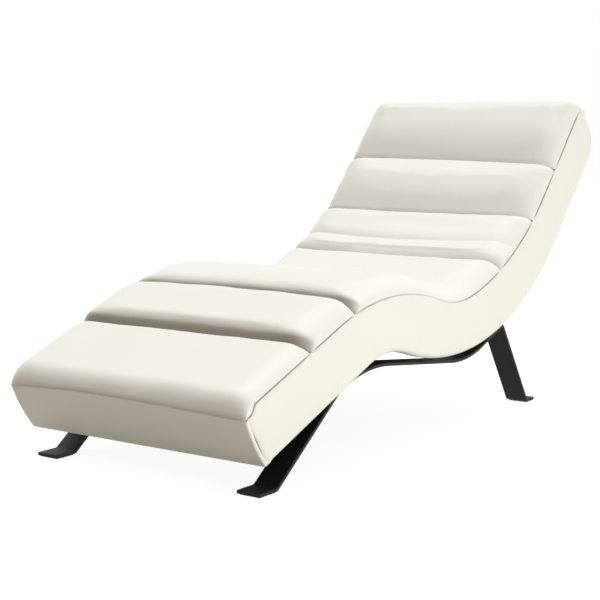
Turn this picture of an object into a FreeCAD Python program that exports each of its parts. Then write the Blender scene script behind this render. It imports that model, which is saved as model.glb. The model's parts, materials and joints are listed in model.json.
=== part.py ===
# Relax lounger: an S-shaped padded body that stands on two bent flat-steel runners.
# Millimetres. +Z is up, the foot end points to -Y, the head end to +Y, and X = 0 is the plane of symmetry.
# The origin is on the floor, below the middle of the overall length. Left is the sitter's left, +X.
import FreeCAD, Part
import math
import os
from FreeCAD import Placement, Rotation, Vector

os.makedirs("parts", exist_ok=True)
doc = FreeCAD.newDocument("lounger")

# Driving dimensions. Headings are degrees above the horizontal, going from the foot end to the head end.
driving = (
    ("body_width", 696, "across both side covers"),
    ("foot_setback", 0.3, "lower front edge of the body, behind the front of the foot plates"),
    ("foot_height", 71.6, "lower front edge of the body, above the floor"),
    ("foot_depth", 143, "underside to seam along the leg rest"),
    ("leg_heading", 21.3, "leg rest"),
    ("knee_heading", -17.6, "steepest fall behind the knee"),
    ("seat_heading", 14.2, "end of the seat hollow"),
    ("back_heading", 47, "straight part of the back"),
    ("under_leg_length", 440, "straight underside of the leg rest"),
    ("under_knee_radius", 260, "underside below the knee"),
    ("under_seat_radius", 777, "underside below the seat hollow"),
    ("under_lumbar_radius", 823, "underside from seat to back"),
    ("seam_leg_length", 361, "straight seam along the leg rest"),
    ("seam_knee_radius", 664, "seam over the knee"),
    ("seam_seat_radius", 336, "seam through the seat hollow"),
    ("seam_lumbar_radius", 842, "seam from seat to back"),
    ("foot_pad_length", 237, "pad lengths are measured along the seam"),
    ("calf_pad_length", 189, ""),
    ("seat_pad_length", 732, ""),
    ("lumbar_pad_length", 222, ""),
    ("back_pad_length", 194, ""),
    ("head_pad_length", 250, ""),
    ("foot_crown", 30, "pad crowns are measured up from the seam"),
    ("calf_crown", 32, ""),
    ("seat_crown", 32, ""),
    ("lumbar_crown", 34, ""),
    ("back_crown", 36, ""),
    ("head_crown", 36, ""),
    ("edge_crown", 7, "pad height at the side seam"),
    ("crease_height", 8, "sewn crease between two pads, above the seam"),
    ("edge_crease", 3, "crease height at the side seam"),
    ("crease_roll", 34, "length over which a pad comes up from a crease"),
    ("crease_notch", 7, "how far a pad's corner is drawn in at the side seam"),
    ("side_roll", 36, "width over which a pad falls to the side seam"),
    ("fold_place", 92, "soft fold in the lumbar pad, from its lower crease"),
    ("fold_depth", 8, "depth of that fold"),
    ("edge_fold", 1, "depth of that fold at the side seam"),
    ("fold_roll", 30, "length over which the pad falls into the fold"),
    ("pad_gap", 0.6, "between neighbouring pads"),
    ("soft_gap", 0.3, "between a soft piece and what it lies on"),
    ("foot_lip_reach", 24, "how far the foot pad rolls out over the front"),
    ("foot_lip_drop", 17, "how far it comes down to the front seam"),
    ("foot_roll", 62, "length of that roll"),
    ("head_lip_drop", 16, "how far the head pad comes down to the head seam"),
    ("head_roll", 30, "length of the roll over the head end"),
    ("end_padding", 13, "padding between the frame and both end covers"),
    ("foot_bulge", 5, "swell of the front cover"),
    ("head_radius", 76, "rounded upper edge at the rear of the head end"),
    ("edge_radius", 14, "rolled lower edge of the side covers"),
    ("cover_flap", 10, "side cover turned under beyond its roll"),
    ("cover_skin", 3, "leather with its backing"),
    ("dust_cloth", 1.5, "cloth under the body"),
    ("dust_cloth_reach", 32, "where the dust cloth ends, beyond the rear bend of the runners"),
    ("side_foam", 14, "foam sheet between side rail and side cover"),
    ("side_foam_lift", 20, "lower edge of that sheet above the underside"),
    ("rail_thickness", 18, "plywood side rails"),
    ("rail_lift", 12, "rail above the underside"),
    ("rail_height", 68, ""),
    ("rail_head_reach", 20, "rail beyond the start of the rounded head edge"),
    ("batten_thickness", 22, "cross rails"),
    ("batten_height", 48, ""),
    ("batten_lift", 6, "cross rail above the lower edge of the side rails"),
    ("board_thickness", 22, "boards that take the runner bolts"),
    ("board_margin", 34, "board beyond the outer bolts"),
    ("strap_width", 50, "elastic webbing"),
    ("strap_thickness", 2, ""),
    ("strap_pitch", 78, ""),
    ("drill_overrun", 2, "a drilled hole's cutter beyond the piece"),
    ("runner_width", 64, "flat bar"),
    ("runner_thickness", 8, ""),
    ("runner_inset", 15, "outer edge of the runner, inside the side covers"),
    ("front_plate_length", 62, "foot plate to its bend"),
    ("front_leg_heading", 36.4, ""),
    ("bridge_overrun", 3, "bend below the knee, beyond the straight underside"),
    ("bridge_heading", -6.7, "bar below the knee"),
    ("rise_heading", 20, "bar below the seat, up to the rear bend"),
    ("rear_bend_run", 98.3, "rear bend beyond the end of the seat hollow"),
    ("rear_bend_gap", 8.5, "body above the bar at the rear bend"),
    ("rear_leg_heading", -56.4, ""),
    ("rear_plate_length", 44, "foot plate from its bend"),
    ("tight_bend_radius", 12, "bends at the foot plates and the rear"),
    ("front_bend_radius", 40, "bend where the front leg meets the body"),
    ("bridge_bend_radius", 420, "long bend below the knee"),
    ("dip_bend_radius", 360, "long bend below the seat"),
    ("bolt_radius", 4, "runner bolts"),
    ("bolt_gap", 0.5, "hole around a bolt"),
    ("bolt_head_radius", 7, ""),
    ("bolt_head_height", 4.4, ""),
    ("bolt_pitch", 22, "between the two bolts at each end of a runner"),
    ("leg_bolt_run", 26, "middle of the leg bolts, beyond the bend of the front leg"),
    ("rear_bolt_margin", 20, "last bolt before the rear bend"),
    ("bolt_seat_gap", 0.45, "bolt head below the bar, which is curved there"),
    ("slot_gap", 2, "slot in a board, around its two bolts"),
    ("nut_height", 6.5, "hexagon nuts on the boards"),
    ("nut_radius", 7.5, "across the corners, halved"),
    ("thread_gap", 0.1, "around a bolt in its nut"),
    ("spacer_width", 46, "packer between runner and body"),
    ("spacer_margin", 18, "packer beyond its bolts"),
    ("glide_thickness", 2.5, "pads under the foot plates"),
    ("glide_margin", 5, "foot plate beyond its glide"),
)

sheet = doc.addObject("Spreadsheet::Sheet", "Sizes")
for row, (alias, value, meaning) in enumerate(driving, 1):
    sheet.set(f"A{row}", alias)
    sheet.set(f"B{row}", str(value))
    sheet.set(f"C{row}", meaning)
    sheet.setAlias(f"B{row}", alias)
doc.recompute()


def size(alias):
    return float(sheet.get(alias))


def slope(alias):
    return math.radians(size(alias))


# Geometry of the side view. A point is (y, z), and a curve is two points for a line or three for an arc.
def ahead(point, heading, run, lift=0.0):
    cos, sin = math.cos(heading), math.sin(heading)
    return (point[0] + run * cos - lift * sin, point[1] + run * sin + lift * cos)


def components(origin, heading, point):
    cos, sin = math.cos(heading), math.sin(heading)
    dy, dz = point[0] - origin[0], point[1] - origin[1]
    return (dy * cos + dz * sin, dz * cos - dy * sin)


def meeting(point, heading, other, other_heading):
    run, lift = components(point, heading, other)
    return ahead(other, other_heading, -lift / math.sin(other_heading - heading))


class Path:
    # Straight stretches and arcs, each tangent to the one before. Lift is measured to the left of the path.
    def __init__(self, start, heading):
        self.stretches = []
        self.end = start
        self.heading = heading
        self.length = 0.0

    def add(self, length, curvature):
        self.stretches.append((self.length, length, self.end, self.heading, curvature))
        self.length += length
        self.end = self.at(self.length)
        self.heading += curvature * length

    def straight(self, length):
        self.add(length, 0.0)

    def bend(self, radius, heading):
        turn = heading - self.heading
        self.add(radius * abs(turn), math.copysign(1 / radius, turn))

    def stretch(self, run):
        reached = [stretch for stretch in self.stretches if stretch[0] <= run]
        return reached[-1] if reached else self.stretches[0]

    def heading_at(self, run):
        first, length, start, heading, curvature = self.stretch(run)
        return heading + curvature * (run - first)

    def at(self, run, lift=0.0):
        first, length, start, heading, curvature = self.stretch(run)
        if not curvature:
            return ahead(start, heading, run - first, lift)
        centre = ahead(start, heading, 0, 1 / curvature)
        return ahead(centre, heading + curvature * (run - first), 0, lift - 1 / curvature)

    def curves(self, begin, finish, lift=0.0, spares=(0.0, 0.0)):
        # A joint of two stretches closer to an end than its spare length is passed over.
        low, high = sorted((begin, finish))
        first_joint, last_joint = low + spares[0], high - spares[1]
        joints = [stretch[0] for stretch in self.stretches[1:]]
        cuts = [low] + [joint for joint in joints if first_joint < joint < last_joint] + [high]
        found = []
        for near, far in zip(cuts, cuts[1:]):
            middle = (near + far) / 2
            ends = (self.at(near, lift), self.at(far, lift))
            bent = self.stretch(middle)[4]
            found.append((ends[0], self.at(middle, lift), ends[1]) if bent else ends)
        return found if begin < finish else [curve[::-1] for curve in reversed(found)]

    def locate(self, point):
        nearest = []
        for first, length, start, heading, curvature in self.stretches:
            travelled = components(start, heading, point)[0]
            if curvature:
                side = math.copysign(1, curvature)
                centre = ahead(start, heading, 0, 1 / curvature)
                across, down = components(centre, heading, point)
                travelled = math.atan2(side * across, -side * down) / curvature
            run = first + min(max(travelled, 0), length)
            nearest.append((math.dist(self.at(run), point), run))
        run = min(nearest)[1]
        return run, components(self.at(run), self.heading_at(run), point)[1]


def rounded(corners, radii):
    headings = [math.atan2(b[1] - a[1], b[0] - a[0]) for a, b in zip(corners, corners[1:])]
    path = Path(corners[0], headings[0])
    trimmed = 0.0
    for index, radius in enumerate(radii):
        trim = radius * math.tan(abs(headings[index + 1] - headings[index]) / 2)
        path.straight(math.dist(corners[index], corners[index + 1]) - trimmed - trim)
        path.bend(radius, headings[index + 1])
        trimmed = trim
    path.straight(math.dist(corners[-2], corners[-1]) - trimmed)
    return path


def closed(*runs):
    # One closed outline: runs of curves or single points, joined by lines where they don't meet.
    outline = []
    for run in runs:
        for curve in run if isinstance(run, list) else [(run,)]:
            if outline and math.dist(outline[-1][-1], curve[0]) > 1e-6:
                outline.append((outline[-1][-1], curve[0]))
            outline.append(curve)
    if math.dist(outline[-1][-1], outline[0][0]) > 1e-6:
        outline.append((outline[-1][-1], outline[0][0]))
    return [curve for curve in outline if len(curve) > 1]


# The paths that shape the body: its underside round to the head seam, the same without the rounded head edge
# for the frame, and the side seam.
def underside(front):
    path = Path((front + size("foot_setback"), size("foot_height")), slope("leg_heading"))
    path.straight(size("under_leg_length"))
    path.bend(size("under_knee_radius"), slope("knee_heading"))
    path.bend(size("under_seat_radius"), slope("seat_heading"))
    path.bend(size("under_lumbar_radius"), slope("back_heading"))
    return path


def body_paths(front):
    under, frame = underside(front), underside(front)
    seam = Path(under.at(0, size("foot_depth")), slope("leg_heading"))
    seam.straight(size("seam_leg_length"))
    seam.bend(size("seam_knee_radius"), slope("knee_heading"))
    seam.bend(size("seam_seat_radius"), slope("seat_heading"))
    seam.bend(size("seam_lumbar_radius"), slope("back_heading"))
    pads = ("foot", "calf", "seat", "lumbar", "back", "head")
    seam.straight(sum(size(f"{pad}_pad_length") for pad in pads) - seam.length)
    along, depth = components(under.end, under.heading, seam.end)
    for path in (under, frame):
        path.straight(along - size("head_radius"))
    under.bend(size("head_radius"), slope("back_heading") + math.pi / 2)
    under.straight(depth - size("head_radius") - size("head_lip_drop"))
    return under, frame, seam


# The runner's centre line, one bar from the front foot plate to the rear one.
def runner_path(front):
    half = size("runner_thickness") / 2
    level = size("glide_thickness") + half
    touching = under.at(0, -size("soft_gap") - half)
    toe = (front, level)
    heel = (front + size("front_plate_length"), level)
    knuckle = meeting(heel, slope("front_leg_heading"), touching, slope("leg_heading"))
    bridge = ahead(touching, slope("leg_heading"), size("under_leg_length") + size("bridge_overrun"))
    rear_bend = frame.at(seat_end + size("rear_bend_run"), -size("rear_bend_gap") - half)
    dip = meeting(bridge, slope("bridge_heading"), rear_bend, slope("rise_heading"))
    rear_heel = meeting(heel, 0.0, rear_bend, slope("rear_leg_heading"))
    rear_toe = ahead(rear_heel, 0.0, size("rear_plate_length"))
    tight = size("tight_bend_radius")
    long_bends = [size(f"{name}_bend_radius") for name in ("front", "bridge", "dip")]
    return rounded([toe, heel, knuckle, bridge, dip, rear_bend, rear_heel, rear_toe],
                   [tight, *long_bends, tight, tight])


# The pads: each comes up from a crease, follows the seam at its crown and goes down to the next crease.
def roll(low, top, heading):
    run, drop = components(top, heading, low)
    radius = (run * run + drop * drop) / (-2 * drop)
    centre = ahead(top, heading, 0, -radius)
    spread = (low[0] + top[0] - 2 * centre[0], low[1] + top[1] - 2 * centre[1])
    reach = radius / math.hypot(*spread)
    return (low, (centre[0] + spread[0] * reach, centre[1] + spread[1] * reach), top)


def lobe(begin, finish, crown, low_lifts, rolls, spares):
    first, last = begin + rolls[0], finish - rolls[1]
    rise = roll(seam.at(begin, low_lifts[0]), seam.at(first, crown), seam.heading_at(first))
    fall = roll(seam.at(finish, low_lifts[1]), seam.at(last, crown), seam.heading_at(last))
    return [rise] + seam.curves(first, last, crown, spares) + [fall[::-1]]


def pad_outline(pad, fullness):
    # The pad's outline at one distance from the side seam, where fullness goes from 0 at the seam to 1.
    crown = size("edge_crown") + (size(f"{pad}_crown") - size("edge_crown")) * fullness
    crease = size("edge_crease") + (size("crease_height") - size("edge_crease")) * fullness
    notch = size("pad_gap") / 2 + size("crease_notch") * (1 - fullness)
    rest, padding = size("soft_gap"), size("end_padding")
    begin, finish = pad_span[pad]
    lows, rolls = [crease, crease], [size("crease_roll"), size("crease_roll")]
    # With these spare lengths, all sections of a pad pass over the same joints of the seam.
    spare = size("crease_notch") + size("pad_gap") - notch
    spares = [spare, spare]
    bottom_begin, bottom_finish = begin + notch, finish - notch
    if pad == "foot":
        begin, lows[0], rolls[0] = -size("foot_lip_reach"), -size("foot_lip_drop"), size("foot_roll")
        bottom_begin, spares[0] = padding, 0.0
    else:
        begin += notch
    if pad == "head":
        lows[1], rolls[1] = -size("head_lip_drop"), size("head_roll")
        bottom_finish, spares[1] = finish - padding, 0.0
    else:
        finish -= notch
    if pad == "lumbar":
        fold = begin + size("fold_place") - notch
        fold_lift = crown - size("edge_fold") - (size("fold_depth") - size("edge_fold")) * fullness
        fold_roll = size("fold_roll")
        top = lobe(begin, fold, crown, (lows[0], fold_lift), (rolls[0], fold_roll), (spare, 0.0))
        top += lobe(fold, finish, crown, (fold_lift, lows[1]), (fold_roll, rolls[1]), (0.0, spare))
    else:
        top = lobe(begin, finish, crown, lows, rolls, spares)
    under_pad = seam.curves(bottom_finish, bottom_begin, rest, spares)
    if pad == "foot":
        inner = seam.at(padding, -size("foot_lip_drop"))
        return closed(top, under_pad, inner)
    if pad == "head":
        inner = seam.at(finish - padding, -size("head_lip_drop"))
        return closed(top, inner, under_pad)
    return closed(top, under_pad)


def lengthwise_reach(outlines):
    edges = [shape_of(curve).toShape() for outline in outlines for curve in outline]
    box = Part.Compound(edges).optimalBoundingBox(False)
    return box.XMin, box.XMax


# Document objects.
nodes = {}


def keep(label, piece):
    piece.Label = label
    nodes[label] = piece
    return piece


def vector(point):
    return Vector(point[0], point[1], 0)


def shape_of(curve):
    kind = Part.LineSegment if len(curve) == 2 else Part.Arc
    return kind(*[vector(point) for point in curve])


def origin_plane(body, role):
    return next(plane for plane in body.Origin.OriginFeatures if plane.Role == role)


def side_sketch(body, name, curves, across):
    # A sketch in the side view, at a distance across the body that the sheet gives.
    sketch = body.newObject("Sketcher::SketchObject", name)
    sketch.AttachmentSupport = (origin_plane(body, "YZ_Plane"), [""])
    sketch.MapMode = "FlatFace"
    sketch.addGeometry([shape_of(curve) for curve in curves], False)
    sketch.setExpression(".AttachmentOffset.Base.z", across)
    return sketch


def slab(name, curves, across, width):
    # A body with one outline in the side view, drawn out along +X.
    body = doc.addObject("PartDesign::Body", name)
    body.AllowCompound = True
    outline = side_sketch(body, f"{name}_outline", curves, across)
    pad = body.newObject("PartDesign::Pad", f"{name}_pad")
    pad.Profile = outline
    pad.setExpression("Length", width)
    return body


def between(half_width):
    # Start and width of a slab that reaches equally far to both sides.
    return f"-({half_width})", f"2 * ({half_width})"


def on_side(side, inner, outer):
    # Start and width of a slab between two distances from the middle, on the left (1) or right (-1).
    return (inner if side > 0 else f"-({outer})"), f"({outer}) - ({inner})"


def group(name, pieces):
    compound = doc.addObject("Part::Compound", name)
    compound.Links = pieces
    return compound


def cut(label, blank, tool):
    result = doc.addObject("Part::Cut", label)
    result.Base = blank
    result.Tool = tool
    return keep(label, result)


def rod(name, radius, height, base, turn):
    # A cylinder from a base point, with its axis turned from +Z by a rotation.
    cylinder = doc.addObject("Part::Cylinder", name)
    cylinder.setExpression("Radius", radius)
    cylinder.setExpression("Height", height)
    cylinder.Placement = Placement(base, turn)
    return cylinder


def hexagon(name, radius, height, base, turn):
    prism = doc.addObject("Part::Prism", name)
    prism.Polygon = 6
    prism.setExpression("Circumradius", radius)
    prism.setExpression("Height", height)
    prism.Placement = Placement(base, turn)
    return prism


def edges_at(shape, points):
    found = []
    for point in points:
        probe = Part.Vertex(point)
        distances = [edge.distToShape(probe)[0] for edge in shape.Edges]
        found.append(f"Edge{distances.index(min(distances)) + 1}")
    return found


half_body = "Sizes.body_width / 2"
inside_cover = f"{half_body} - Sizes.cover_skin"
rail_outer = f"{inside_cover} - Sizes.side_foam"
rail_inner = f"{rail_outer} - Sizes.rail_thickness"
flap_edge = f"{half_body} - Sizes.edge_radius - Sizes.cover_flap"
runner_outer = f"{half_body} - Sizes.runner_inset"
runner_inner = f"{runner_outer} - Sizes.runner_width"
sides = (("left", 1), ("right", -1))


def side_cover(name, side):
    # Outer form: the whole side, with its lower edge rolled and a step for both pad lips.
    step = size("soft_gap")
    front_seam = seam.at(-size("foot_lip_reach"), 0)
    outline = closed(under.curves(0, under.length), seam.end, seam.curves(seam.length, 0), front_seam)
    outer = slab(f"{name}_outer", outline, *on_side(side, flap_edge, half_body))
    doc.recompute()
    outer_face = side * size("body_width") / 2
    roll_edges(outer, under.curves(0, under.length), [outer_face], "Sizes.edge_radius")
    lip = size("end_padding") + step
    foot_drop, head_drop = size("foot_lip_drop") + step, size("head_lip_drop") + step
    high = size("edge_crown")
    foot_step = plank(seam.at(lip), seam.heading_at(0), (-size("foot_depth"), 0), -foot_drop, high)
    head_step = plank(seam.at(seam.length - lip), seam.heading, (0, 2 * lip), -head_drop, high)
    start = on_side(side, flap_edge, half_body)[0]
    step_sketch = side_sketch(outer, f"{name}_step_outline", foot_step + head_step, start)
    steps = outer.newObject("PartDesign::Pocket", f"{name}_steps")
    steps.Profile = step_sketch
    steps.Type = "ThroughAll"
    steps.SideType = "Symmetric"
    outer.Tip = steps
    # Inner form, one skin inside the outer one and open at the top and the foot end.
    skin = size("cover_skin")
    clear = size("foot_depth")
    inner_path = under.curves(-clear, under.length + clear, skin)
    inner_outline = closed(inner_path, seam.curves(seam.length, -clear, clear))
    inner_span = on_side(side, f"{flap_edge} - Sizes.cover_skin", inside_cover)
    inner = slab(f"{name}_inner", inner_outline, *inner_span)
    doc.recompute()
    inner_face = outer_face - side * skin
    bevel = "(Sizes.edge_radius - Sizes.cover_skin) * (2 - sqrt(2))"
    roll_edges(inner, inner_path, [inner_face], bevel, "Chamfer")
    return cut(name, outer, inner)


def roll_edges(body, curves, faces, radius, kind="Fillet"):
    # Rounds or bevels the lengthwise edges that lie along some curves, at some distances across the body.
    points = [Vector(across, *curve_middle(curve)) for across in faces for curve in curves]
    base = body.Tip
    edging = body.newObject(f"PartDesign::{kind}", f"{body.Name}_roll")
    edging.Base = (base, edges_at(base.Shape, points))
    edging.setExpression("Radius" if kind == "Fillet" else "Size", radius)


def curve_middle(curve):
    if len(curve) == 3:
        return curve[1]
    return ((curve[0][0] + curve[1][0]) / 2, (curve[0][1] + curve[1][1]) / 2)


def channel_pad(pad):
    # Sections across the width: rounded down to the seam on both sides, straight in between.
    label = f"{pad}_pad"
    body = doc.addObject("PartDesign::Body", label)
    right = [(-1, angle) for angle in side_angles]
    left = [(1, angle) for angle in reversed(side_angles)]
    sections = []
    for side, angle in right + left:
        across = f"{side} * (Sizes.body_width / 2 - Sizes.side_roll * (1 - cos({angle} deg)))"
        outline = pad_outline(pad, math.sin(math.radians(angle)))
        sections.append(side_sketch(body, f"{label}_section_{len(sections)}", outline, across))
    loft = body.newObject("PartDesign::AdditiveLoft", f"{label}_loft")
    loft.Profile = sections[0]
    loft.Sections = sections[1:]
    loft.Ruled = True
    return keep(label, body)


def band(path, begin, finish, low, high):
    return closed(path.curves(begin, finish, low), path.curves(finish, begin, high))


def plank(here, heading, ends, low, high):
    # A straight-sided plank in the side view, set square to a heading.
    corners = ((ends[0], low), (ends[1], low), (ends[1], high), (ends[0], high))
    return closed(*[ahead(here, heading, *corner) for corner in corners])


# Where everything lies: the plates' front edge is set so that the origin is below the middle of the length.
pad_order = ("foot", "calf", "seat", "lumbar", "back", "head")
pad_span = {}
for pad in pad_order:
    begin = max([finish for first, finish in pad_span.values()], default=0.0)
    pad_span[pad] = (begin, begin + size(f"{pad}_pad_length"))
side_angles = (0, 30, 60, 90)

under, frame, seam = body_paths(0.0)
nearest, farthest = lengthwise_reach([pad_outline("foot", 1.0), under.curves(frame.length, under.length)])
front = -(nearest + farthest) / 2
under, frame, seam = body_paths(front)
back_end = frame.length
seat_end = frame.stretches[3][0]
runner = runner_path(front)

# Pads.
for pad in pad_order:
    channel_pad(pad)

# Covers.
for name, side in sides:
    side_cover(f"side_cover_{name}", side)

gap = size("soft_gap")
padding = size("end_padding")
lip_level = -size("foot_lip_drop") - gap
lower_level = size("cover_skin") + gap - size("foot_depth")
face_top = seam.at(-size("foot_lip_reach"), lip_level)
face_foot = seam.at(0, lower_level)
face_middle = ahead(curve_middle((face_top, face_foot)), slope("leg_heading"), -size("foot_bulge"))
face_back = [seam.at(padding, level) for level in (lip_level, lower_level)]
foot_face = closed([(face_foot, face_middle, face_top)], *face_back)
foot_cover = slab("foot_end_cover", foot_face, *between(f"{inside_cover} - Sizes.soft_gap"))
doc.recompute()
half_face = size("body_width") / 2 - size("cover_skin") - gap
lower_edge = [(face_foot, face_back[1])]
face_roll = "Sizes.edge_radius - Sizes.cover_skin - Sizes.soft_gap"
roll_edges(foot_cover, lower_edge, (-half_face, half_face), face_roll)
keep("foot_end_cover", foot_cover)

between_flaps = between(f"{flap_edge} - Sizes.soft_gap")
cover_joint = seat_end + size("rear_bend_run") + size("dust_cloth_reach")
skin = size("cover_skin")
back_band = band(under, cover_joint + gap, back_end - gap, 0, skin)
head_band = band(under, back_end, under.length, 0, skin)
keep("back_cover", slab("back_cover", back_band, *between_flaps))
keep("head_end_cover", slab("head_end_cover", head_band, *between_flaps))
dust_cloth = slab("dust_cloth", band(under, gap, cover_joint, 0, size("dust_cloth")), *between_flaps)

# Where the runner bolts go: two on the long bend along the leg rest and two before the rear bend.
half_bar = size("runner_thickness") / 2
leg_stretch, rise_stretch = runner.stretches[4], runner.stretches[8]
leg_middle = leg_stretch[0] + size("leg_bolt_run")
rise_middle = rise_stretch[0] + rise_stretch[1] - size("rear_bolt_margin") - size("bolt_pitch") / 2
half_board = size("bolt_pitch") / 2 + size("board_margin")
board_level = {}
for name, middle in (("leg", leg_middle), ("lumbar", rise_middle)):
    seat, heading = runner.at(middle, -half_bar), runner.heading_at(middle)
    ends = [frame.locate(ahead(seat, heading, end))[0] for end in (-half_board, half_board)]
    lifts = [components(seat, heading, frame.at(run, size("cover_skin") + gap))[1] for run in ends]
    board_level[name] = (seat, heading, max(lifts))
bar_middle = size("body_width") / 2 - size("runner_inset") - size("runner_width") / 2


def bolt_places():
    # Each bolt's name, side, board, seat below the bar and turn.
    for name, side in sides:
        for board, (seat, heading, level) in board_level.items():
            for end, shift in (("a", -0.5), ("b", 0.5)):
                place = ahead(seat, heading, shift * size("bolt_pitch"))
                turn = Rotation(Vector(1, 0, 0), math.degrees(heading))
                yield f"{board}_{name}_{end}", side, board, place, heading, turn


def on_axis(side, place, heading, lift):
    return Vector(side * bar_middle, *ahead(place, heading, 0, lift))


bolts, nuts = [], []
bolt_drills = {name: [] for name, side in sides}
over = size("drill_overrun")
for name, side, board, place, heading, turn in bolt_places():
    board_top = board_level[board][2] + size("board_thickness")
    reach = f"{board_top} + Sizes.nut_height"
    head_top = -size("bolt_seat_gap")
    head_base = on_axis(side, place, heading, head_top - size("bolt_head_height"))
    head = hexagon(f"bolt_head_{name}", "Sizes.bolt_head_radius", "Sizes.bolt_head_height", head_base, turn)
    shank_base = on_axis(side, place, heading, head_top)
    shank = rod(f"bolt_shank_{name}", "Sizes.bolt_radius", f"{reach} + Sizes.bolt_seat_gap", shank_base, turn)
    bolt = doc.addObject("Part::Fuse", f"bolt_{name}")
    bolt.Base, bolt.Tool = head, shank
    bolts.append(bolt)
    nut_base = on_axis(side, place, heading, board_top)
    nut_blank = hexagon(f"nut_blank_{name}", "Sizes.nut_radius", "Sizes.nut_height", nut_base, turn)
    drill_base = on_axis(side, place, heading, -over)
    drill_height = f"{reach} + 2 * Sizes.drill_overrun"
    thread_radius = "Sizes.bolt_radius + Sizes.thread_gap"
    thread = rod(f"nut_thread_{name}", thread_radius, drill_height, drill_base, turn)
    nut = doc.addObject("Part::Cut", f"nut_{name}")
    nut.Base, nut.Tool = nut_blank, thread
    nuts.append(nut)
    drill = rod(f"bolt_drill_{name}", "Sizes.bolt_radius + Sizes.bolt_gap", drill_height, drill_base, turn)
    bolt_drills["left" if side > 0 else "right"].append(drill)
keep("runner_bolts", group("runner_bolts", bolts))
keep("bolt_nuts", group("bolt_nuts", nuts))
side_drills = {name: group(f"bolt_drills_{name}", drills) for name, drills in bolt_drills.items()}

# The dust cloth is cut away round the bolts, below the boards.
notches = []
for board, (seat, heading, level) in board_level.items():
    notch = plank(seat, heading, (-half_board, half_board), 0, level + size("board_thickness"))
    for name, side in sides:
        notches.append(slab(f"notch_{board}_{name}", notch, *on_side(side, runner_inner, half_body)))
cut("dust_cover", dust_cloth, group("dust_notches", notches))

# Frame: side rails cut to the side view, with cross rails and bolt boards glued between them.
rail_low = size("rail_lift")
rail_high = rail_low + size("rail_height")
rail_end = back_end + size("rail_head_reach")
rail_start = padding + gap
batten_low = rail_low + size("batten_lift")
batten_high = batten_low + size("batten_height")
half_batten = size("batten_thickness") / 2
knee_run = frame.stretches[1][0] + frame.stretches[1][1] / 2
seat_run = frame.stretches[2][0] + frame.stretches[2][1] / 2
batten_runs = {
    "foot": rail_start + half_batten,
    "knee": knee_run,
    "seat": seat_run,
    "lumbar": frame.stretches[4][0],
    "head": rail_end - half_batten,
}
bar_line = f"({runner_outer} - Sizes.runner_width / 2)"
slot_reach = "Sizes.bolt_radius + Sizes.slot_gap"
half_slot = size("bolt_pitch") / 2 + size("bolt_radius") + size("slot_gap")
for name, run in batten_runs.items():
    ends = (-half_batten, half_batten)
    outline = plank(frame.at(run), frame.heading_at(run), ends, batten_low, batten_high)
    keep(f"{name}_cross_rail", slab(f"{name}_cross_rail", outline, *between(rail_inner)))
for name, (seat, heading, level) in board_level.items():
    outline = plank(seat, heading, (-half_board, half_board), level, level + size("board_thickness"))
    blank = slab(f"{name}_board_blank", outline, *between(rail_inner))
    slot = plank(seat, heading, (-half_slot, half_slot), level - over, level + size("board_thickness") + over)
    slots = []
    for hand, side in sides:
        across = on_side(side, f"{bar_line} - ({slot_reach})", f"{bar_line} + {slot_reach}")
        slots.append(slab(f"{name}_slot_{hand}", slot, *across))
    cut(f"{name}_bolt_board", blank, group(f"{name}_board_slots", slots))
for name, side in sides:
    outline = band(frame, rail_start, rail_end, rail_low, rail_high)
    keep(f"side_rail_{name}", slab(f"side_rail_{name}", outline, *on_side(side, rail_inner, rail_outer)))

# Webbing across the rails, foam on the webbing up to the seam, and foam sheets outside the rails.
strap_low = rail_high + gap
strap_high = strap_low + size("strap_thickness")
half_strap = size("strap_width") / 2
strap_run = rail_start + half_strap
strap_outlines = []
while strap_run + half_strap < rail_end:
    strap_outlines += band(frame, strap_run - half_strap, strap_run + half_strap, strap_low, strap_high)
    strap_run += size("strap_pitch")
keep("webbing_straps", slab("webbing_straps", strap_outlines, *between(rail_outer)))

core_seam_end = seam.length - padding - gap
core_end = frame.length + components(frame.end, frame.heading, seam.at(core_seam_end))[0]
core = closed(frame.curves(rail_start, core_end, strap_high + gap), seam.curves(core_seam_end, rail_start))
keep("foam_core", slab("foam_core", core, *between(rail_outer)))

side_seam_end = seam.length - size("head_radius") + size("rail_head_reach")
sheet_low = frame.curves(rail_start, rail_end, size("side_foam_lift"))
sheet_outline = closed(sheet_low, seam.curves(side_seam_end, rail_start))
for name, side in sides:
    across = on_side(side, f"{rail_outer} + Sizes.soft_gap", f"{inside_cover} - Sizes.soft_gap")
    keep(f"side_foam_{name}", slab(f"side_foam_{name}", sheet_outline, *across))

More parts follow.
